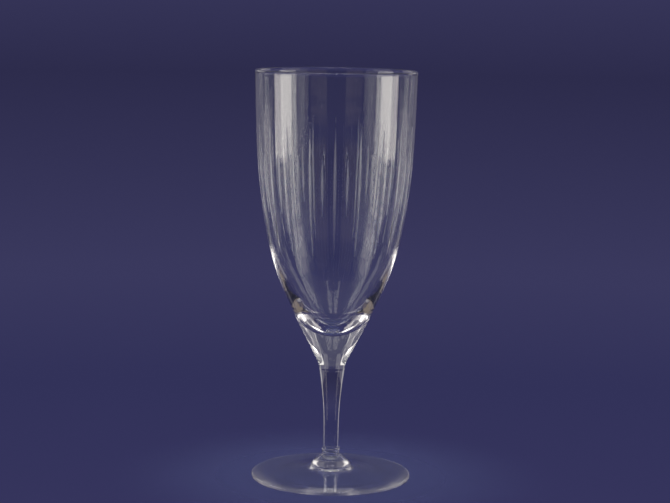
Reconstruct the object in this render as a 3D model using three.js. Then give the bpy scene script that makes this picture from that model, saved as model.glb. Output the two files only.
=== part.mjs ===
// Stemmed beer glass with a slender egg-shaped bowl, in millimetres, +Z up.
// The origin is the centre of the ring that the foot stands on.
// +Z is the axis that every piece is turned about.
// The glass is four pieces of clear glass that are made one by one and fused end to end while hot:
// the blown bowl with its solid tail, the drawn stem, the collar pressed under the stem, and the spun foot.
import * as THREE from "three";

// Driving dimensions
const HEIGHT = 180;
const RIM_RADIUS = 35.3;
const FOOT_RADIUS = 35.2;
const BOWL_JOINT_Z = 48.5; // the bowl's tail is fused to the stem here
const STEM_JOINT_Z = 12.8; // the stem is fused to the collar here
const FOOT_JOINT_Z = 4.9; // the collar is fused to the foot here

// Fineness of the turned surfaces
const ROUND_SEGMENTS = 60;
const CURVE_STEPS = 6;

// Bowl, outside: a solid tail, a straight cone, a long curve and a nearly straight upper wall
const TAIL_RADIUS = 5.6;
const TAIL_SLOPE = 0.16;
const CONE_SLOPE = 0.49; // radius gained for each millimetre of height
const CONE_START_Z = 52.9;
const CONE_END_Z = 82;
const CONE_END_RADIUS = 21.15;
const SHOULDER_Z = 150;
const SHOULDER_RADIUS = 34.35;
const TAIL_REACH = 2; // how far a curve's handle reaches up or down the axis
const BELLY_REACH = 20.5;
const SHOULDER_REACH = 13;

// Bowl, inside: a thin upper wall that thickens into a heavy base under the round floor
const LIP_RADIUS = 0.55; // the rim is fire-polished to a half round
const SHOULDER_WALL = 1.3;
const FLOOR_Z = 66;
const FLOOR_EDGE_Z = 86;
const FLOOR_EDGE_RADIUS = 19.8;
const FLOOR_EDGE_SLOPE = 0.6;
const FLOOR_EDGE_REACH = 11;
const INNER_BELLY_REACH = 18;
const FLOOR_FLAT_REACH = 7.5;

// Stem
const STEM_FOOT_RADIUS = 3.15;
const STEM_FOOT_SLOPE = 0.05;
const STEM_FOOT_REACH = 10;
const STEM_TOP_REACH = 18;

// Collar: a bead round the stem's end over a bell that spreads onto the foot
const BEAD_RADIUS = 4.4;
const BEAD_Z = 11.75;
const NECK_RADIUS = 4.15;
const NECK_Z = 10.7;
const BELL_RADIUS = 9.5;
const BELL_EDGE_Z = 5.5;
const BELL_BASE_RADIUS = 9.2;
const BELL_MIDDLE_RADIUS = 6.6;
const BELL_MIDDLE_Z = 8.5;
const BELL_RUN = 1.5; // the bell's slope at its middle goes out this far for each BELL_FALL down
const BELL_FALL = 1.1;

// Foot: a shallow cone on top, a domed underside, and a flat ring to stand on
const FOOT_SEAT_FALL = 0.25;
const FOOT_EDGE_TOP_Z = 1.75;
const FOOT_EDGE_INSET = 0.9;
const FOOT_EDGE_Z = 0.8;
const FOOT_SLOPE_REACH = 9;
const FOOT_SEAT_SLOPE = 0.2;
const FOOT_EDGE_SLOPE = 0.06;
const RING_OUTER_RADIUS = 34.3;
const RING_INNER_RADIUS = 30.5;
const UNDERSIDE_RISE = 1.5;
const UNDERSIDE_REACH = 12;

// Clear glass as the eye takes it: almost no colour, polished, see-through
function clearGlass(colour) {
  return new THREE.MeshStandardMaterial({
    color: colour,
    roughness: 0.03,
    metalness: 0,
    transparent: true,
    opacity: 0.35,
  });
}

// A point at the height z whose radius follows a straight slope from another point
function alongSlope(point, slope, reach) {
  return new THREE.Vector2(point.x + slope * reach, point.y + reach);
}

// Continues an outline to `end` on a curve pulled by two handles
function curveTo(outline, firstHandle, secondHandle, end) {
  outline.bezierCurveTo(firstHandle.x, firstHandle.y, secondHandle.x, secondHandle.y, end.x, end.y);
}

// Spins an outline, drawn as radius against height, about the Z axis into one closed piece
function turnedPiece(name, outline, colour) {
  const geometry = new THREE.LatheGeometry(outline.getPoints(CURVE_STEPS), ROUND_SEGMENTS);
  geometry.rotateX(Math.PI / 2);
  const piece = new THREE.Mesh(geometry, clearGlass(colour));
  piece.name = name;
  return piece;
}

// The blown bowl. Its outline goes up the outside from the tail, over the rim and down inside to the floor.
function bowl() {
  const tail = new THREE.Vector2(TAIL_RADIUS, BOWL_JOINT_Z);
  const coneEnd = new THREE.Vector2(CONE_END_RADIUS, CONE_END_Z);
  const coneStart = alongSlope(coneEnd, CONE_SLOPE, CONE_START_Z - CONE_END_Z);
  const shoulder = new THREE.Vector2(SHOULDER_RADIUS, SHOULDER_Z);
  const lip = new THREE.Vector2(RIM_RADIUS - LIP_RADIUS, HEIGHT - LIP_RADIUS);
  const upperSlope = (RIM_RADIUS - SHOULDER_RADIUS) / (lip.y - SHOULDER_Z);

  const outline = new THREE.Path();
  outline.moveTo(0, BOWL_JOINT_Z);
  outline.lineTo(tail.x, tail.y);
  curveTo(
    outline,
    alongSlope(tail, TAIL_SLOPE, TAIL_REACH),
    alongSlope(coneStart, CONE_SLOPE, -TAIL_REACH),
    coneStart,
  );
  outline.lineTo(coneEnd.x, coneEnd.y);
  curveTo(
    outline,
    alongSlope(coneEnd, CONE_SLOPE, BELLY_REACH),
    alongSlope(shoulder, upperSlope, -SHOULDER_REACH),
    shoulder,
  );
  outline.absarc(lip.x, lip.y, LIP_RADIUS, 0, Math.PI, false);

  const innerShoulder = new THREE.Vector2(SHOULDER_RADIUS - SHOULDER_WALL, SHOULDER_Z);
  const floorEdge = new THREE.Vector2(FLOOR_EDGE_RADIUS, FLOOR_EDGE_Z);
  outline.lineTo(innerShoulder.x, innerShoulder.y);
  curveTo(
    outline,
    alongSlope(innerShoulder, upperSlope, -SHOULDER_REACH),
    alongSlope(floorEdge, FLOOR_EDGE_SLOPE, INNER_BELLY_REACH),
    floorEdge,
  );
  curveTo(
    outline,
    alongSlope(floorEdge, FLOOR_EDGE_SLOPE, -FLOOR_EDGE_REACH),
    new THREE.Vector2(FLOOR_FLAT_REACH, FLOOR_Z),
    new THREE.Vector2(0, FLOOR_Z),
  );
  return turnedPiece("bowl", outline, 0xf1f4f4);
}

// The drawn stem, thick under the bowl and thin above the collar
function stem() {
  const foot = new THREE.Vector2(STEM_FOOT_RADIUS, STEM_JOINT_Z);
  const top = new THREE.Vector2(TAIL_RADIUS, BOWL_JOINT_Z);
  const outline = new THREE.Path();
  outline.moveTo(0, STEM_JOINT_Z);
  outline.lineTo(foot.x, foot.y);
  curveTo(
    outline,
    alongSlope(foot, STEM_FOOT_SLOPE, STEM_FOOT_REACH),
    alongSlope(top, TAIL_SLOPE, -STEM_TOP_REACH),
    top,
  );
  outline.lineTo(0, BOWL_JOINT_Z);
  return turnedPiece("stem", outline, 0xf1f4f4);
}

// The collar, which carries the stem's end and spreads its load onto the foot
function collar() {
  const base = new THREE.Vector2(BELL_BASE_RADIUS, FOOT_JOINT_Z);
  const edge = new THREE.Vector2(BELL_RADIUS, BELL_EDGE_Z);
  const middle = new THREE.Vector2(BELL_MIDDLE_RADIUS, BELL_MIDDLE_Z);
  const neck = new THREE.Vector2(NECK_RADIUS, NECK_Z);
  const bead = new THREE.Vector2(BEAD_RADIUS, BEAD_Z);
  const top = new THREE.Vector2(STEM_FOOT_RADIUS, STEM_JOINT_Z);

  const outline = new THREE.Path();
  outline.moveTo(0, FOOT_JOINT_Z);
  outline.lineTo(base.x, base.y);
  outline.quadraticCurveTo(edge.x, base.y, edge.x, edge.y);
  curveTo(
    outline,
    new THREE.Vector2(edge.x, edge.y + BELL_FALL),
    new THREE.Vector2(middle.x + BELL_RUN, middle.y - BELL_FALL),
    middle,
  );
  curveTo(
    outline,
    new THREE.Vector2(middle.x - BELL_RUN, middle.y + BELL_FALL),
    new THREE.Vector2(neck.x, neck.y - BELL_FALL),
    neck,
  );
  outline.quadraticCurveTo(bead.x, neck.y, bead.x, bead.y);
  outline.quadraticCurveTo(bead.x, top.y, top.x, top.y);
  outline.lineTo(0, STEM_JOINT_Z);
  return turnedPiece("collar", outline, 0xf1f4f4);
}

// The foot: it stands on a flat ring, and its top rises from a thin round edge to the seat under the collar
function foot() {
  const seat = new THREE.Vector2(BELL_BASE_RADIUS, FOOT_JOINT_Z);
  const slopeTop = new THREE.Vector2(seat.x + FOOT_SEAT_FALL, seat.y - FOOT_SEAT_FALL);
  const edgeTop = new THREE.Vector2(FOOT_RADIUS - FOOT_EDGE_INSET, FOOT_EDGE_TOP_Z);
  const outline = new THREE.Path();
  outline.moveTo(0, UNDERSIDE_RISE);
  curveTo(
    outline,
    new THREE.Vector2(UNDERSIDE_REACH, UNDERSIDE_RISE),
    new THREE.Vector2(RING_INNER_RADIUS - UNDERSIDE_REACH, 0),
    new THREE.Vector2(RING_INNER_RADIUS, 0),
  );
  outline.lineTo(RING_OUTER_RADIUS, 0);
  outline.quadraticCurveTo(FOOT_RADIUS, 0, FOOT_RADIUS, FOOT_EDGE_Z);
  outline.quadraticCurveTo(FOOT_RADIUS, edgeTop.y, edgeTop.x, edgeTop.y);
  curveTo(
    outline,
    new THREE.Vector2(edgeTop.x - FOOT_SLOPE_REACH, edgeTop.y + FOOT_EDGE_SLOPE * FOOT_SLOPE_REACH),
    new THREE.Vector2(slopeTop.x + FOOT_SLOPE_REACH, slopeTop.y - FOOT_SEAT_SLOPE * FOOT_SLOPE_REACH),
    slopeTop,
  );
  outline.lineTo(seat.x, seat.y);
  outline.lineTo(0, FOOT_JOINT_Z);
  return turnedPiece("foot", outline, 0xf1f4f4);
}

const glass = new THREE.Group();
glass.add(foot(), collar(), stem(), bowl());
export default glass;
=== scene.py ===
# %% [markdown]
# # A stemmed beer glass of clear crystal
# This lesson dresses a measured model of a stemmed beer glass. The measured model is four closed pieces:
# foot, collar, stem and bowl. Glass has no colour of its own to paint, so its looks come from three things:
# clean smooth surfaces, the right index of refraction, and something bright for the surfaces to mirror.

# %% Load the measured model
import math
import bpy
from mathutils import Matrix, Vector


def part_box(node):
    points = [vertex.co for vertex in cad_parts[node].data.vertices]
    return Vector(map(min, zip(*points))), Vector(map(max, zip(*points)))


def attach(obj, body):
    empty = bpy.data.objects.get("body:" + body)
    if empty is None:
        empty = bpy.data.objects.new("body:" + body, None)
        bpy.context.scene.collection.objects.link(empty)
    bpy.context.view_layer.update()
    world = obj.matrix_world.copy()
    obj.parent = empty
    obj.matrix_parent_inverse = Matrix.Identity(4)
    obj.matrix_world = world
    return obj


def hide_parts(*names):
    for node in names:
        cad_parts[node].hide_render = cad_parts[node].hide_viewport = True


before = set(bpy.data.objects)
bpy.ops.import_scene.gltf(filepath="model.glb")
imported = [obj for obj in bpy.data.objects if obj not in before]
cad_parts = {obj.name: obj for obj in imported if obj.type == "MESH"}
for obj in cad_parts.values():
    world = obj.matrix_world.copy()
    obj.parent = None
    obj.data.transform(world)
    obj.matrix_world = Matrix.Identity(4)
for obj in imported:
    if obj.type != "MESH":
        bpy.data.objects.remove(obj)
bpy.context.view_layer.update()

MM = 0.001
print("pieces:", sorted(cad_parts))


# %% [markdown]
# ## Colours and shader nodes
# A colour given as hex is an sRGB value, but a renderer adds light up in linear values, so every hex colour
# goes through one function: the sRGB standard's curve, with its straight start. Another small function adds
# one shader node, sets it and links it, so that each material below reads as a list of its nodes. It takes
# a socket by its label, with _ for a space, or by its number, as _0, because some sockets share one label.

# %% Two helpers for materials
def linear(hex_colour):
    values = [int(hex_colour[i:i + 2], 16) / 255 for i in (1, 3, 5)]
    light = [v / 12.92 if v <= 0.04045 else ((v + 0.055) / 1.055) ** 2.4 for v in values]
    return (*light, 1.0)


def add_node(tree, kind, settings=None, **sockets):
    node = tree.nodes.new(kind)
    for name, value in (settings or {}).items():
        setattr(node, name, value)
    for name, value in sockets.items():
        key = int(name[1:]) if name[1:].isdigit() else name.replace("_", " ")
        if isinstance(value, bpy.types.NodeSocket):
            tree.links.new(value, node.inputs[key])
        else:
            node.inputs[key].default_value = value
    return node


print("white is", linear("#FFFFFF"))


# %% [markdown]
# ## The camera
# The photograph was taken from a little above the rim with a long lens, 0.8 m from the glass. The distance,
# the height and the downward tilt were worked out from the two ellipses that the rim and the foot make.
# The camera is also turned by a little under a degree, because the glass leans in the photograph.

# %% Camera at the photograph's viewing angle
CAMERA_PLACE = (0.5 * MM, -806.0 * MM, 210.1 * MM)
CAMERA_TILT = math.radians(7.725)
CAMERA_ROLL = math.radians(0.899)
LENS_MM = 99.64
SENSOR_MM = 36

bpy.ops.object.select_all(action="DESELECT")
bpy.ops.object.camera_add(location=CAMERA_PLACE, rotation=(math.pi / 2 - CAMERA_TILT, 0, 0))
camera = bpy.context.object
camera.rotation_euler.rotate_axis("Z", CAMERA_ROLL)
camera.data.sensor_width = SENSOR_MM
camera.data.lens = LENS_MM
bpy.context.scene.camera = camera
bpy.context.scene.view_settings.view_transform = "Standard"
print("camera", [round(c, 4) for c in camera.location])


# %% [markdown]
# ## The studio
# Clear glass shows what is around it. A floor of blue paper, a little paler than the backdrop, carries the
# glass. It fades out a hand's width away into the deep blue, so that the bright lines on the bowl have
# something dark to stand against. The fade is a mix with a transparent shader, so the floor has no edge.
# The heavy base turns the view like a lens, and would show this small floor as a pale patch. So a ray that
# has met the glass, and then flies on further than the glass is wide, doesn't see the floor at all.

# %% Floor
FLOOR_END = 110 * MM
FLOOR_GAP = 0.1 * MM
FLOOR_CORNERS = 96

bpy.ops.object.select_all(action="DESELECT")
bpy.ops.mesh.primitive_circle_add(
    vertices=FLOOR_CORNERS, radius=FLOOR_END, fill_type="NGON", location=(0, 0, -FLOOR_GAP),
)
floor = bpy.context.object
floor.name = "floor"
print("floor fades out at", FLOOR_END / MM, "mm")

# %% Floor paper
FLOOR_PAPER = "#474970"
PAPER_ROUGHNESS = 0.9
FLOOR_FULL = 20 * MM
NEAR_FLOOR = 90 * MM

# Matt paper gives the eye one even tone with no shine, so that all the shine in the picture is the
# glass's own.
floor_paper = bpy.data.materials.new("matt_floor_paper")
floor_paper.use_nodes = True
tree = floor_paper.node_tree
tree.nodes.clear()
place = add_node(tree, "ShaderNodeTexCoord")
reach = add_node(tree, "ShaderNodeVectorMath", {"operation": "LENGTH"}, _0=place.outputs["Object"])
fade = add_node(
    tree, "ShaderNodeMapRange", {"interpolation_type": "SMOOTHERSTEP"},
    Value=reach.outputs["Value"], From_Min=FLOOR_FULL, From_Max=FLOOR_END, To_Min=1.0, To_Max=0.0,
)
ray = add_node(tree, "ShaderNodeLightPath")
far = add_node(
    tree, "ShaderNodeMath", {"operation": "GREATER_THAN"}, _0=ray.outputs["Ray Length"], _1=NEAR_FLOOR,
)
through_glass = add_node(
    tree, "ShaderNodeMath", {"operation": "MAXIMUM"},
    _0=ray.outputs["Is Glossy Ray"], _1=ray.outputs["Is Transmission Ray"],
)
unseen = add_node(
    tree, "ShaderNodeMath", {"operation": "MULTIPLY"}, _0=far.outputs[0], _1=through_glass.outputs[0],
)
seen = add_node(tree, "ShaderNodeMath", {"operation": "SUBTRACT"}, _0=1.0, _1=unseen.outputs[0])
solid = add_node(
    tree, "ShaderNodeMath", {"operation": "MULTIPLY"}, _0=fade.outputs["Result"], _1=seen.outputs[0],
)
paper = add_node(
    tree, "ShaderNodeBsdfPrincipled", Base_Color=linear(FLOOR_PAPER), Roughness=PAPER_ROUGHNESS,
    Specular_IOR_Level=0.0,
)
clear = add_node(tree, "ShaderNodeBsdfTransparent")
mixed = add_node(
    tree, "ShaderNodeMixShader", _0=solid.outputs[0], _1=clear.outputs[0], _2=paper.outputs[0],
)
add_node(tree, "ShaderNodeOutputMaterial", Surface=mixed.outputs[0])
floor.data.materials.append(floor_paper)
print("floor paper:", len(tree.nodes), "nodes")


# %% [markdown]
# ## Backdrop
# The backdrop is the world. What the camera sees of it, straight or through the glass, is deep blue paper,
# darkest at eye level and lighter further down, with a faint shade above the floor. Above eye level the paper
# catches a little lamp light and ends in a dim ceiling. The camera never looks up there, but the foot and the
# heavy base do. The base also mirrors the room behind the camera, which is dark above eye level. Only rays
# that were mirrored see that, so that no black patch stands in the glass when it is seen from behind.
# Light that has already met the floor sees a plain pale surround instead, so the floor is lit from all sides.

# %% Paper and ceiling
PAPER_LOW = "#36355D"
PAPER_SHADED = "#323259"
PAPER_MIDDLE = "#3A395E"
PAPER_HIGH = "#2D2C4C"
PAPER_LIT = "#4B4A63"
CEILING = "#898A92"
# Each colour stands at a height of the look: -1 is straight down, 0 is level and 1 is straight up.
BACKDROP = {
    -0.28: PAPER_LOW,
    -0.20: PAPER_SHADED,
    -0.145: PAPER_MIDDLE,
    -0.04: PAPER_HIGH,
    0.03: PAPER_MIDDLE,
    0.12: PAPER_LIT,
    0.6: PAPER_LIT,
    0.85: CEILING,
}

world = bpy.data.worlds.new("studio")
bpy.context.scene.world = world
world.use_nodes = True
tree = world.node_tree
tree.nodes.clear()
look = add_node(tree, "ShaderNodeTexCoord")
way = add_node(tree, "ShaderNodeSeparateXYZ", Vector=look.outputs["Generated"])
height = add_node(tree, "ShaderNodeMapRange", Value=way.outputs["Z"], From_Min=-1.0, From_Max=1.0)
shade = add_node(tree, "ShaderNodeValToRGB", Fac=height.outputs["Result"])
shade.color_ramp.elements[1].color = linear(CEILING)
for z, colour in BACKDROP.items():
    shade.color_ramp.elements.new((z + 1) / 2).color = linear(colour)
shade.color_ramp.elements.remove(shade.color_ramp.elements[0])
blue_paper = add_node(tree, "ShaderNodeBackground", Color=shade.outputs["Color"])
print(len(BACKDROP), "tones from the floor to the ceiling")

# %% Dark room behind the camera
DARK_ROOM = "#1E1E26"
DARK_FULL = -0.85
DARK_END = -0.7
DARK_LOW = 0.0
DARK_HIGH = 0.06
# A depth counts whole bounces, so half a bounce parts none from some.
ANY_BOUNCE = 0.5

ray = add_node(tree, "ShaderNodeLightPath")
behind_camera = add_node(
    tree, "ShaderNodeMapRange",
    Value=way.outputs["Y"], From_Min=DARK_FULL, From_Max=DARK_END, To_Min=1.0, To_Max=0.0,
)
above_eyes = add_node(
    tree, "ShaderNodeMapRange", Value=way.outputs["Z"], From_Min=DARK_LOW, From_Max=DARK_HIGH,
)
mirrored = add_node(
    tree, "ShaderNodeMath", {"operation": "GREATER_THAN"}, _0=ray.outputs["Glossy Depth"], _1=ANY_BOUNCE,
)
dark_way = add_node(
    tree, "ShaderNodeMath", {"operation": "MULTIPLY"},
    _0=behind_camera.outputs["Result"], _1=above_eyes.outputs["Result"],
)
dark = add_node(
    tree, "ShaderNodeMath", {"operation": "MULTIPLY"}, _0=dark_way.outputs[0], _1=mirrored.outputs[0],
)
dark_room = add_node(tree, "ShaderNodeBackground", Color=linear(DARK_ROOM))
backdrop = add_node(
    tree, "ShaderNodeMixShader", _0=dark.outputs[0], _1=blue_paper.outputs[0], _2=dark_room.outputs[0],
)
print("dark room:", DARK_ROOM)

# %% Pale surround that lights the floor
AROUND = "#E6E9F2"

through_glass = add_node(
    tree, "ShaderNodeMath", {"operation": "MAXIMUM"},
    _0=ray.outputs["Is Glossy Ray"], _1=ray.outputs["Is Transmission Ray"],
)
seen = add_node(
    tree, "ShaderNodeMath", {"operation": "MAXIMUM"},
    _0=ray.outputs["Is Camera Ray"], _1=through_glass.outputs[0],
)
before_floor = add_node(
    tree, "ShaderNodeMath", {"operation": "LESS_THAN"}, _0=ray.outputs["Diffuse Depth"], _1=ANY_BOUNCE,
)
shown = add_node(
    tree, "ShaderNodeMath", {"operation": "MULTIPLY"}, _0=seen.outputs[0], _1=before_floor.outputs[0],
)
around = add_node(tree, "ShaderNodeBackground", Color=linear(AROUND))
studio = add_node(
    tree, "ShaderNodeMixShader", _0=shown.outputs[0], _1=around.outputs[0], _2=backdrop.outputs[0],
)
add_node(tree, "ShaderNodeOutputWorld", Surface=studio.outputs[0])
print("backdrop:", len(tree.nodes), "nodes")


# %% [markdown]
# ## Lamps
# Glass is lit by what it mirrors, so boxes and boards stand where its surfaces point. A softbox on each side,
# with a dimmer box above and two shines from the table below, makes the paired bright streaks: each wall of
# the bowl mirrors each box once on its outside and once on its inside. The boards in front fill the borders
# of the streaks and the tan patches in the base. The boards at the sides and the back draw the thin bright
# edges of stem, cone and foot, and light the flanks of the collar. Two panes high above the camera make the
# small pale bars in the base.
# A table of boards is easier to change than two dozen lamps set by hand. Each board is turned round the glass
# from the camera's side, by its angle in degrees and its distance in metres, and has a mirror twin. Its
# lower and upper edge and its width are in metres too, and a glow of 1 is a white face.
# No lamp is seen by diffuse rays, because the floor has its plain light already. The lights that are there to
# be mirrored are also hidden from rays that only went straight through the glass. From other sides they would
# otherwise stand behind the bowl as pale sheets.

# %% Table of boards
LAMP_COLOUR = "#FFF7ED"
ROOM_COLOUR = "#E3CDB4"
BOARDS = {
    "softbox": dict(turn=80.5, away=0.64, low=0.035, high=0.24, wide=0.355, glow=3.0),
    "upper_box": dict(turn=77.5, away=0.75, low=0.27, high=0.60, wide=0.47, glow=0.9),
    "table_shine": dict(turn=76, away=0.64, low=-0.14, high=0.03, wide=0.27, glow=0.45),
    "low_shine": dict(turn=64.5, away=0.64, low=-0.40, high=-0.15, wide=0.20, glow=0.85),
    "front_board": dict(turn=54, away=0.75, low=0.0, high=0.40, wide=0.24, glow=0.35),
    "room_board": dict(turn=27.5, away=0.70, low=0.16, high=0.42, wide=0.32, glow=0.27, colour=ROOM_COLOUR),
    "side_board": dict(turn=113, away=0.70, low=-0.16, high=0.10, wide=0.28, glow=0.42),
    "back_board": dict(turn=133, away=0.75, low=0.03, high=0.45, wide=1.10, glow=0.08),
    "collar_board": dict(turn=136, away=0.70, low=0.21, high=0.45, wide=0.40, glow=0.9),
    "high_board": dict(turn=139, away=0.70, low=0.46, high=0.70, wide=0.30, glow=0.14),
    "edge_board": dict(turn=130, away=0.078, low=0.042, high=0.115, wide=0.014, glow=0.2),
}
ONLY_MIRRORED = ("softbox", "upper_box", "table_shine", "low_shine", "front_board", "room_board")
print(len(BOARDS), "boards,", len(ONLY_MIRRORED), "of them only for mirror images")


# %% Helpers for lamps
def area_lamp(name, place, aim, wide, tall, glow, colour=LAMP_COLOUR):
    facing = (aim - place).to_track_quat("-Z", "Y").to_euler()
    bpy.ops.object.select_all(action="DESELECT")
    bpy.ops.object.light_add(type="AREA", location=place, rotation=facing)
    lamp = bpy.context.object
    lamp.name = name
    lamp.data.shape = "RECTANGLE"
    lamp.data.size = wide
    lamp.data.size_y = tall
    lamp.data.color = linear(colour)[:3]
    lamp.data.energy = glow * math.pi * wide * tall
    lamp.visible_camera = False
    lamp.visible_diffuse = False
    print(name, round(lamp.data.energy, 3), "W")
    return lamp


def upright_board(name, sign, turn, away, low, high, wide, glow, colour=LAMP_COLOUR):
    angle = sign * math.radians(turn)
    place = Vector((math.sin(angle) * away, -math.cos(angle) * away, (low + high) / 2))
    return area_lamp(name, place, Vector((0, 0, place.z)), wide, high - low, glow, colour)


def hide_from_straight_rays(lamp):
    lamp.data.use_nodes = True
    tree = lamp.data.node_tree
    ray = add_node(tree, "ShaderNodeLightPath")
    mirrored = add_node(
        tree, "ShaderNodeMath", {"operation": "GREATER_THAN"}, _0=ray.outputs["Glossy Depth"], _1=ANY_BOUNCE,
    )
    tree.links.new(mirrored.outputs[0], tree.nodes["Emission"].inputs["Strength"])


# %% Boards and panes in place
SIDES = {"left": -1, "right": 1}
PANE_PLACE = Vector((0.2565, -0.586, 1.46))
PANE_AIM_HEIGHT = 0.08
PANE_WIDE = 0.387
PANE_TALL = 0.69
PANE_GLOW = 2.0

for side, sign in SIDES.items():
    for name, board in BOARDS.items():
        lamp = upright_board(name + "_" + side, sign, **board)
        if name in ONLY_MIRRORED:
            hide_from_straight_rays(lamp)
    pane = Vector((sign * PANE_PLACE.x, PANE_PLACE.y, PANE_PLACE.z))
    area_lamp("pane_" + side, pane, Vector((pane.x, 0, PANE_AIM_HEIGHT)), PANE_WIDE, PANE_TALL, PANE_GLOW)

# %% Bounces
MIRROR_BOUNCES = 48
GLASS_BOUNCES = 24
ALL_BOUNCES = 64

# Light goes through many walls of glass and runs along inside the thin ones, and each turn in there counts as
# a mirror bounce. With few bounces the rim and the foot's edge would end in black.
# Reflections are kept sharp on their way to the floor, which would otherwise go dark under the foot.
cycles = bpy.context.scene.cycles
cycles.max_bounces = ALL_BOUNCES
cycles.glossy_bounces = MIRROR_BOUNCES
cycles.transmission_bounces = GLASS_BOUNCES
cycles.transparent_max_bounces = GLASS_BOUNCES
cycles.blur_glossy = 0.0
print("up to", ALL_BOUNCES, "bounces")


# %% [markdown]
# ## Outlines of the turned pieces
# Every piece of this glass is round, so each is one outline turned about the upright axis. The outline comes
# from the measured piece: a copy of it is cut through its middle, and only the cut line is kept. The measured
# line has short straight steps, so it is made a curve whose handles find their own smooth way through the
# same points. Corners, and the two ends of a flat, keep straight handles.
# A spin all the way round in fine steps is slow, so one slice is spun finely and then copied round.

# %% From a measured piece to its cut line
MERGE = 0.001 * MM


def cut_line(node, name):
    bpy.ops.object.select_all(action="DESELECT")
    bpy.ops.object.add(type="MESH")
    piece = bpy.context.object
    piece.name = name
    piece.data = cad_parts[node].data.copy()
    piece.data.name = name
    piece.data.materials.clear()
    bpy.ops.object.mode_set(mode="EDIT")
    bpy.ops.mesh.select_all(action="SELECT")
    bpy.ops.mesh.remove_doubles(threshold=MERGE)
    bpy.ops.mesh.bisect(
        plane_co=(0, 0, 0), plane_no=(0, 1, 0), clear_inner=True, clear_outer=True, threshold=MERGE,
    )
    bpy.ops.object.mode_set(mode="OBJECT")
    return piece


# %% From the cut line to a smooth half outline
CORNER = math.radians(35)
NO_TURN = 0.0001
FLAT = 1 * MM
TINY = 0.0001 * MM


def is_corner(before, here, after):
    turn = (here - before).angle(after - here)
    flat = any(abs(here.z - other.z) < TINY and abs(here.x - other.x) > FLAT for other in (before, after))
    return turn > CORNER or (flat and turn > NO_TURN)


def smooth_half_outline(node, name, steps):
    piece = cut_line(node, name)
    bpy.ops.object.convert(target="CURVE")
    bpy.ops.object.mode_set(mode="EDIT")
    bpy.ops.curve.select_all(action="SELECT")
    bpy.ops.curve.spline_type_set(type="BEZIER")
    bpy.ops.curve.handle_type_set(type="AUTOMATIC")
    bpy.ops.object.mode_set(mode="OBJECT")
    spline = piece.data.splines[0]
    spline.resolution_u = steps
    points = spline.bezier_points
    for i, point in enumerate(points):
        after = points[(i + 1) % len(points)]
        if is_corner(points[i - 1].co, point.co, after.co):
            point.handle_left_type = "VECTOR"
            point.handle_right_type = "VECTOR"
    bpy.ops.object.convert(target="MESH")
    bpy.ops.object.mode_set(mode="EDIT")
    bpy.ops.mesh.select_all(action="SELECT")
    bpy.ops.mesh.bisect(plane_co=(0, 0, 0), plane_no=(1, 0, 0), clear_inner=True, threshold=TINY)
    bpy.ops.mesh.select_all(action="SELECT")
    bpy.ops.object.mode_set(mode="OBJECT")
    print(name, "outline:", len(points), "measured points,", len(piece.data.vertices), "smooth points")
    return piece


# %% From a half outline to a round piece
SLICES = 12
SPIN_MERGE = 0.002 * MM


def deselect_mesh():
    bpy.ops.object.mode_set(mode="EDIT")
    bpy.ops.mesh.select_all(action="DESELECT")
    bpy.ops.object.mode_set(mode="OBJECT")


def select_points(piece, wanted):
    deselect_mesh()
    for point in piece.data.vertices:
        point.select = wanted(point.co)
    bpy.ops.object.mode_set(mode="EDIT")


def turn_round(piece, steps):
    slice_angle = math.tau / SLICES
    bpy.ops.object.mode_set(mode="EDIT")
    bpy.ops.mesh.select_all(action="SELECT")
    bpy.ops.mesh.spin(steps=steps // SLICES, angle=slice_angle, center=(0, 0, 0), axis=(0, 0, 1))
    bpy.ops.mesh.select_all(action="SELECT")
    bpy.ops.mesh.spin(
        steps=SLICES - 1, angle=math.tau - slice_angle, dupli=True, center=(0, 0, 0), axis=(0, 0, 1),
    )
    bpy.ops.mesh.select_all(action="SELECT")
    bpy.ops.mesh.remove_doubles(threshold=SPIN_MERGE)
    bpy.ops.mesh.normals_make_consistent(inside=False)
    bpy.ops.object.mode_set(mode="OBJECT")
    piece.data.calc_loop_triangles()
    print(piece.name, len(piece.data.loop_triangles), "triangles")


# %% [markdown]
# ## Clear glass
# The glass is lead-free crystal: soda glass with extra potash, clear, heavy and bright, with an index of
# refraction near 1.52. Fire-polished glass is smoother than any tool could leave it, but it was drawn, spun
# or pressed while soft, and each of those leaves its own slow waves, too shallow to feel. Only mirror images
# show them, so each piece below adds its waves to the same clear glass as a bump.
# Where two pieces were fused hot there is no surface left between them: the two faces of such a joint get
# a see-through material, so that light goes straight on from one piece into the next.

# %% Crystal and fused joints
GLASS_TINT = "#FBFDFC"
GLASS_IOR = 1.52


# Crystal gives the eye almost no colour: bright mirror images where it is seen at a slant, and a bent view
# of what is behind it where it is seen head on.
def clear_crystal(name):
    material = bpy.data.materials.new(name)
    material.use_nodes = True
    tree = material.node_tree
    tree.nodes.clear()
    place = add_node(tree, "ShaderNodeTexCoord")
    glass = add_node(
        tree, "ShaderNodeBsdfPrincipled", Base_Color=linear(GLASS_TINT), Roughness=0.0, IOR=GLASS_IOR,
        Transmission_Weight=1.0,
    )
    add_node(tree, "ShaderNodeOutputMaterial", Surface=glass.outputs[0])
    return material, place.outputs["Object"], glass


# A fused joint gives the eye nothing: the glass goes on through it.
fused = bpy.data.materials.new("fused_joint")
fused.use_nodes = True
fused.node_tree.nodes["Principled BSDF"].inputs["Alpha"].default_value = 0.0

# %% A piece's glass, its joints and its body
LEVEL_FACE = 0.999


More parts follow.
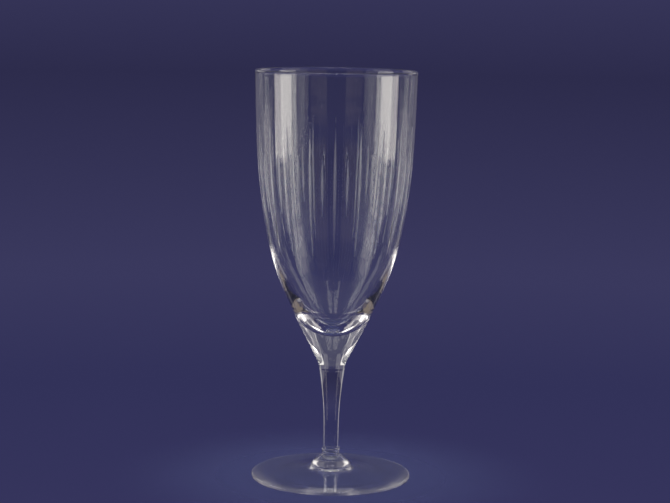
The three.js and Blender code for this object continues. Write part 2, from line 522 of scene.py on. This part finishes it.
def finish_piece(piece, node, glass, joint_heights):
    bpy.ops.object.shade_smooth_by_angle(angle=CORNER)
    piece.data.materials.append(glass)
    piece.data.materials.append(fused)
    deselect_mesh()
    for face in piece.data.polygons:
        on_joint = any(abs(face.center.z - height) < MERGE for height in joint_heights)
        face.select = on_joint and abs(face.normal.z) > LEVEL_FACE
    joint_faces = sum(face.select for face in piece.data.polygons)
    bpy.ops.object.mode_set(mode="EDIT")
    piece.active_material_index = piece.data.materials.find(fused.name)
    bpy.ops.object.material_slot_assign()
    bpy.ops.object.mode_set(mode="OBJECT")
    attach(piece, "root")
    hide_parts(node)
    print(piece.name, "has", joint_faces, "faces on fused joints")


foot_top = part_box("foot")[1].z
collar_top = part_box("collar")[1].z
stem_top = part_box("stem")[1].z
print("fused joints, mm:", [round(height / MM, 2) for height in (foot_top, collar_top, stem_top)])


# %% [markdown]
# ## Foot
# The foot is a small gather of hot glass that was dropped on the collar and spun out flat, so its slow waves
# are rings. It stands on a narrow flat ring, and years of tables have scuffed that ring matt in patches.
# It could be a cylinder with a bevel, but its top is a shallow cone and its underside a shallow dome, so the
# measured outline is turned instead. A spun foot is about equally thick all over, and one looks through it as
# through a window. The measured dome is half as deep as that needs, so its points are pulled up first.
# The seat is drawn in together with the collar that stands on it.

# %% Foot disc
FOOT_SMOOTH = 4
FOOT_ROUND = 180
HOLLOW = 2.0
RING_INNER = 30.5 * MM
DOME_TOP = 1.6 * MM
SEAT = (5 * MM, 9.6 * MM)
SEAT_LOW = 3.2 * MM
SEAT_FALL = 0.4
COLLAR_BASE = 0.93
AXIS_REACH = 0.01 * MM

foot = smooth_half_outline("foot", "foot_disc", FOOT_SMOOTH)
select_points(foot, lambda point: point.x < RING_INNER and point.z < DOME_TOP)
bpy.ops.transform.resize(value=(1, 1, HOLLOW), center_override=(0, 0, 0))
select_points(foot, lambda point: SEAT[0] < point.x < SEAT[1] and point.z > SEAT_LOW)
bpy.ops.transform.resize(value=(COLLAR_BASE, 1, SEAT_FALL), center_override=(0, 0, foot_top))
bpy.ops.object.mode_set(mode="OBJECT")
middle = [point.co.z for point in foot.data.vertices if point.co.x < AXIS_REACH]
print("foot is", round((max(middle) - min(middle)) / MM, 2), "mm thick in its middle")
turn_round(foot, FOOT_ROUND)

# %% Foot glass: rings from spinning, and a scuffed standing ring
RING_WIDTH = 4 * MM
RING_DEPTH = 0.0015 * MM
SCUFF_HEIGHT = 0.02 * MM
SCUFF_SIZE = 1.5 * MM
SCUFF_ROUGHNESS = 0.3

# Spinning gives mirror images on the foot a slow waver in rings, and wear gives its standing ring a
# matt bloom.
foot_crystal, place, glass = clear_crystal("spun_crystal")
tree = foot_crystal.node_tree
flat_place = add_node(tree, "ShaderNodeMapping", Vector=place, Scale=(1.0, 1.0, 0.0))
radius = add_node(tree, "ShaderNodeVectorMath", {"operation": "LENGTH"}, _0=flat_place.outputs[0])
ring = add_node(
    tree, "ShaderNodeMath", {"operation": "MULTIPLY"}, _0=radius.outputs["Value"], _1=1 / RING_WIDTH,
)
rings = add_node(
    tree, "ShaderNodeTexNoise", {"noise_dimensions": "1D"}, W=ring.outputs[0], Scale=1.0, Detail=1.0,
)
bump = add_node(tree, "ShaderNodeBump", Height=rings.outputs[0], Distance=RING_DEPTH)
tree.links.new(bump.outputs[0], glass.inputs["Normal"])

up = add_node(tree, "ShaderNodeSeparateXYZ", Vector=place)
worn = add_node(
    tree, "ShaderNodeMapRange",
    Value=up.outputs["Z"], From_Min=0.0, From_Max=SCUFF_HEIGHT, To_Min=SCUFF_ROUGHNESS, To_Max=0.0,
)
patches = add_node(tree, "ShaderNodeTexNoise", Vector=place, Scale=1 / SCUFF_SIZE, Detail=4.0)
scuffed = add_node(
    tree, "ShaderNodeMath", {"operation": "MULTIPLY"}, _0=worn.outputs["Result"], _1=patches.outputs[0],
)
tree.links.new(scuffed.outputs[0], glass.inputs["Roughness"])
finish_piece(foot, "foot", foot_crystal, [foot_top])


# %% [markdown]
# ## Collar
# The collar is a blob of hot glass pressed between the stem and the foot: a bead round the stem's end, and a
# bell that spreads onto the foot. Its short curves mirror the lamps as sparkles, so its flank matters: it is
# straighter and slimmer than the measured one, which is therefore drawn in towards the axis, most between
# the bead and the bell's edge, and not at all where the stem stands. The press left it a little lumpy.

# %% Collar bell
COLLAR_SMOOTH = 6
COLLAR_ROUND = 240
COLLAR_FLANK = 0.89
FLANK_LOW = 7.2 * MM
FLANK_HIGH = 12.15 * MM


def kept_radius(z):
    if z < FLANK_LOW:
        return COLLAR_FLANK + (COLLAR_BASE - COLLAR_FLANK) * (FLANK_LOW - z) / (FLANK_LOW - foot_top)
    if z > FLANK_HIGH:
        return COLLAR_FLANK + (1 - COLLAR_FLANK) * (z - FLANK_HIGH) / (collar_top - FLANK_HIGH)
    return COLLAR_FLANK


collar = smooth_half_outline("collar", "collar_bell", COLLAR_SMOOTH)
for point in collar.data.vertices:
    point.co.x *= kept_radius(point.co.z)
turn_round(collar, COLLAR_ROUND)

# %% Collar glass: faint lumps from pressing
PRESS_LUMP = 3 * MM
PRESS_DEPTH = 0.0005 * MM

# Pressing gives the sparkles on the collar slightly uneven edges.
collar_crystal, place, glass = clear_crystal("pressed_crystal")
tree = collar_crystal.node_tree
lumps = add_node(tree, "ShaderNodeTexNoise", Vector=place, Scale=1 / PRESS_LUMP, Detail=1.0)
bump = add_node(tree, "ShaderNodeBump", Height=lumps.outputs[0], Distance=PRESS_DEPTH)
tree.links.new(bump.outputs[0], glass.inputs["Normal"])
finish_piece(collar, "collar", collar_crystal, [foot_top, collar_top])


# %% [markdown]
# ## Stem
# The stem is a rod drawn down from thick to thin, so its waves are long lines that run up and down. Where it
# was stuck to the bowl's tail a faint ridge wanders round the joint: both pieces carry one half of it.

# %% Drawn lines and the stuck seam
SEAM_WIDTH = 0.6 * MM
SEAM_WANDER = 1.6 * MM
SEAM_WAVE = 3.5 * MM
SEAM_DEPTH = 0.03 * MM


def drawn_lines(tree, place, width, length, depth):
    stretched = add_node(
        tree, "ShaderNodeMapping", Vector=place, Scale=(1 / width, 1 / width, 1 / length),
    )
    lines = add_node(tree, "ShaderNodeTexNoise", Vector=stretched.outputs[0], Scale=1.0, Detail=1.0)
    return add_node(tree, "ShaderNodeBump", Height=lines.outputs[0], Distance=depth)


def stuck_seam(tree, place, height, waves):
    wander = add_node(tree, "ShaderNodeTexNoise", Vector=place, Scale=1 / SEAM_WAVE, Detail=2.0)
    drift = add_node(
        tree, "ShaderNodeMapRange", {"clamp": False},
        Value=wander.outputs[0], To_Min=height - SEAM_WANDER / 2, To_Max=height + SEAM_WANDER / 2,
    )
    up = add_node(tree, "ShaderNodeSeparateXYZ", Vector=place)
    above = add_node(
        tree, "ShaderNodeMath", {"operation": "SUBTRACT"}, _0=up.outputs["Z"], _1=drift.outputs["Result"],
    )
    off = add_node(tree, "ShaderNodeMath", {"operation": "ABSOLUTE"}, _0=above.outputs[0])
    ridge = add_node(
        tree, "ShaderNodeMapRange", {"interpolation_type": "SMOOTHSTEP"},
        Value=off.outputs[0], From_Min=0.0, From_Max=SEAM_WIDTH, To_Min=1.0, To_Max=0.0,
    )
    return add_node(
        tree, "ShaderNodeBump", Height=ridge.outputs["Result"], Distance=SEAM_DEPTH, Normal=waves.outputs[0],
    )


# %% Stem and its glass
STEM_SMOOTH = 5
STEM_ROUND = 96
DRAWN_WIDTH = 1.6 * MM
DRAWN_LENGTH = 40 * MM
DRAWN_DEPTH = 0.0015 * MM

stem = smooth_half_outline("stem", "drawn_stem", STEM_SMOOTH)
turn_round(stem, STEM_ROUND)

# Drawing gives the stem's two bright edges a faint waver, and sticking gives its top a fine crooked line.
stem_crystal, place, glass = clear_crystal("drawn_crystal")
tree = stem_crystal.node_tree
lines = drawn_lines(tree, place, DRAWN_WIDTH, DRAWN_LENGTH, DRAWN_DEPTH)
seam = stuck_seam(tree, place, stem_top, lines)
tree.links.new(seam.outputs[0], glass.inputs["Normal"])
finish_piece(stem, "stem", stem_crystal, [collar_top, stem_top])


# %% [markdown]
# ## Bowl
# The bowl was blown into a mould and turned there, which keeps it round and clean. The wall is thin at the
# rim and thickens into a heavy base, and it ends in a solid tail. The outline has many points round the small
# lip, which are merged, and few on the straight wall, where the cuts need more.

# %% Bowl outline and wall
BOWL_SMOOTH = 3
BOWL_ROUND = 600
LIP_LOW = 179 * MM
LIP_STEP = 0.2 * MM
HOLDING_EDGES = (176 * MM, 178.4 * MM)
BAND = (96 * MM, 163 * MM)
BAND_STEP = 2.2 * MM


def halve_long_steps(piece, low, high, longest):
    bpy.ops.object.mode_set(mode="EDIT")
    bpy.ops.mesh.select_mode(type="EDGE")
    bpy.ops.mesh.select_all(action="DESELECT")
    bpy.ops.object.mode_set(mode="OBJECT")
    points = piece.data.vertices
    for edge in piece.data.edges:
        start, end = (points[i].co for i in edge.vertices)
        in_band = min(start.z, end.z) < high and max(start.z, end.z) > low
        edge.select = in_band and (end - start).length > longest
    count = sum(edge.select for edge in piece.data.edges)
    bpy.ops.object.mode_set(mode="EDIT")
    bpy.ops.mesh.subdivide(number_cuts=1)
    bpy.ops.mesh.select_mode(type="VERT")
    bpy.ops.object.mode_set(mode="OBJECT")
    return count


bowl = smooth_half_outline("bowl", "blown_bowl", BOWL_SMOOTH)
select_points(bowl, lambda point: point.z > LIP_LOW)
bpy.ops.mesh.remove_doubles(threshold=LIP_STEP)
for height in HOLDING_EDGES:
    bpy.ops.mesh.select_all(action="SELECT")
    bpy.ops.mesh.bisect(plane_co=(0, 0, height), plane_no=(0, 0, 1), threshold=MERGE)
bpy.ops.object.mode_set(mode="OBJECT")
while halve_long_steps(bowl, *BAND, BAND_STEP):
    print("bowl outline:", len(bowl.data.vertices), "points")
turn_round(bowl, BOWL_ROUND)

# %% [markdown]
# ## Cuts
# A band of fine upright cuts goes round the bowl, long and short in turn, as a cutter makes them: each is one
# touch of a thin wheel with a V-shaped edge. The wheel is round, so a cut is deepest in its middle and runs
# out to a point at both ends, and one formula gives the depth along the cut and across it. The cuts could be
# boolean cutters, but forty of those leave ragged thin triangles in a smooth wall. Here the depth goes into
# a vertex group, and a Displace modifier sinks the outer wall by it. The wheel leaves the cuts unpolished.

# %% Depth of each cut
CUTS_ROUND = 40
LONG_CUT = (99 * MM, 160 * MM)
SHORT_CUT = (118 * MM, 146 * MM)
CUT_HALF_WIDTH = 0.55 * MM
PITCH = math.tau / CUTS_ROUND


def cut_depth(point):
    turn = math.atan2(point.y, point.x)
    number = round(turn / PITCH)
    low, high = SHORT_CUT if number % 2 else LONG_CUT
    along = (2 * point.z - low - high) / (high - low)
    across = abs(turn - number * PITCH) * math.hypot(point.x, point.y) / CUT_HALF_WIDTH
    return max(0.0, 1 - along ** 2 - across)


depths = []
for point in bowl.data.vertices:
    outside = point.normal.x * point.co.x + point.normal.y * point.co.y > 0
    depths.append(cut_depth(point.co) if outside else 0.0)
print(CUTS_ROUND, "cuts,", sum(depth > 0 for depth in depths), "points to sink")

# %% Cuts in the wall
CUT_DEPTH = 0.3 * MM

sunk = bowl.vertex_groups.new(name="cuts")
for index, depth in enumerate(depths):
    if depth > 0:
        sunk.add([index], depth, "REPLACE")
cut = bowl.data.attributes.new("cut", "FLOAT", "POINT")
cut.data.foreach_set("value", depths)

bpy.ops.object.modifier_add(type="DISPLACE")
displace = bowl.modifiers[-1]
displace.vertex_group = sunk.name
displace.mid_level = 0.0
displace.strength = -CUT_DEPTH
bpy.ops.object.modifier_apply(modifier=displace.name)
print("cuts are", round(CUT_DEPTH / MM, 2), "mm deep")

# %% Bowl glass: drawn lines, the seam at its tail, and frosted cuts
CORD_WIDTH = 5 * MM
CORD_LENGTH = 70 * MM
CORD_DEPTH = 0.0004 * MM
CUT_EDGE = 0.2
CUT_ROUGHNESS = 0.3

# Blowing gives the streaks on the bowl faint upright lines, and the cutter's wheel gives each cut a
# frosted gleam.
bowl_crystal, place, glass = clear_crystal("blown_crystal")
tree = bowl_crystal.node_tree
cords = drawn_lines(tree, place, CORD_WIDTH, CORD_LENGTH, CORD_DEPTH)
seam = stuck_seam(tree, place, stem_top, cords)
tree.links.new(seam.outputs[0], glass.inputs["Normal"])
depth = add_node(tree, "ShaderNodeAttribute", {"attribute_name": "cut"})
frosted = add_node(
    tree, "ShaderNodeMapRange",
    Value=depth.outputs["Fac"], From_Min=0.0, From_Max=CUT_EDGE, To_Min=0.0, To_Max=CUT_ROUGHNESS,
)
tree.links.new(frosted.outputs["Result"], glass.inputs["Roughness"])
finish_piece(bowl, "bowl", bowl_crystal, [stem_top])
